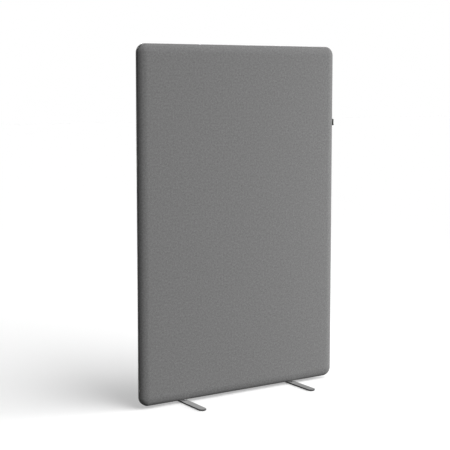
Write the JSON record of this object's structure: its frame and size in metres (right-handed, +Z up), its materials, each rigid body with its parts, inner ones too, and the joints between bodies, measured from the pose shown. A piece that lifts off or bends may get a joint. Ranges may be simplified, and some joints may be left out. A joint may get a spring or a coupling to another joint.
{
  "type": "acoustic divider screen",
  "caption": "Free-standing acoustic floor screen: a padded fabric panel with rounded edges, zipped round its edge, on two flat metal feet.",
  "frame": {"origin": "on the floor, under the middle of the panel", "axes": "+X along the panel to the right as seen from the front, +Y to the rear, +Z up"},
  "size_m": [1.0098, 0.33, 1.509],
  "materials": {
    "cover_fabric": "mid-grey woven fabric, matt, with a fine fleck",
    "padding": "white polyester wadding",
    "core_felt": "pressed fibre felt",
    "frame_wood": "planed pine",
    "zip_tape": "black woven polyester tape",
    "zip_plastic": "black moulded plastic",
    "slider_metal": "black lacquered die-cast metal",
    "foot_metal": "silver-grey powder coat",
    "hardware_steel": "zinc-plated steel",
    "glide_rubber": "black rubber"
  },
  "bodies": {
    "screen": {"left_stile": "frame_wood", "right_stile": "frame_wood", "top_rail": "frame_wood", "middle_rail": "frame_wood", "bottom_rail": "frame_wood", "frame_dowels": "frame_wood", "corner_blocks": "frame_wood", "upper_core": "core_felt", "lower_core": "core_felt", "front_padding": "padding", "rear_padding": "padding", "front_cover": "cover_fabric", "rear_cover": "cover_fabric", "front_zip_tape": "zip_tape", "rear_zip_tape": "zip_tape", "front_zip_teeth": "zip_plastic", "rear_zip_teeth": "zip_plastic", "front_zip_chain": "zip_plastic", "rear_zip_chain": "zip_plastic", "zip_top_stops": "zip_plastic", "zip_start_box": "zip_plastic", "left_foot": "foot_metal", "right_foot": "foot_metal", "foot_spacers": "hardware_steel", "threaded_inserts": "hardware_steel", "foot_screws": "hardware_steel", "glide_pads": "glide_rubber"},
    "slider": {"slider_body": "slider_metal"},
    "puller": {"slider_puller": "slider_metal"}
  },
  "joints": [
    {"name": "slider_slide", "type": "slide", "parent": "screen", "child": "slider", "axis": [0, 0, -1], "range_m": [0, 1.1], "deforming": ["front_zip_teeth", "rear_zip_teeth"]},
    {"name": "puller_hinge", "type": "hinge", "parent": "slider", "child": "puller", "pos_m": [0.5076, 0, 1.184], "axis": [0, -1, 0], "range_deg": [0, 175]}
  ]
}
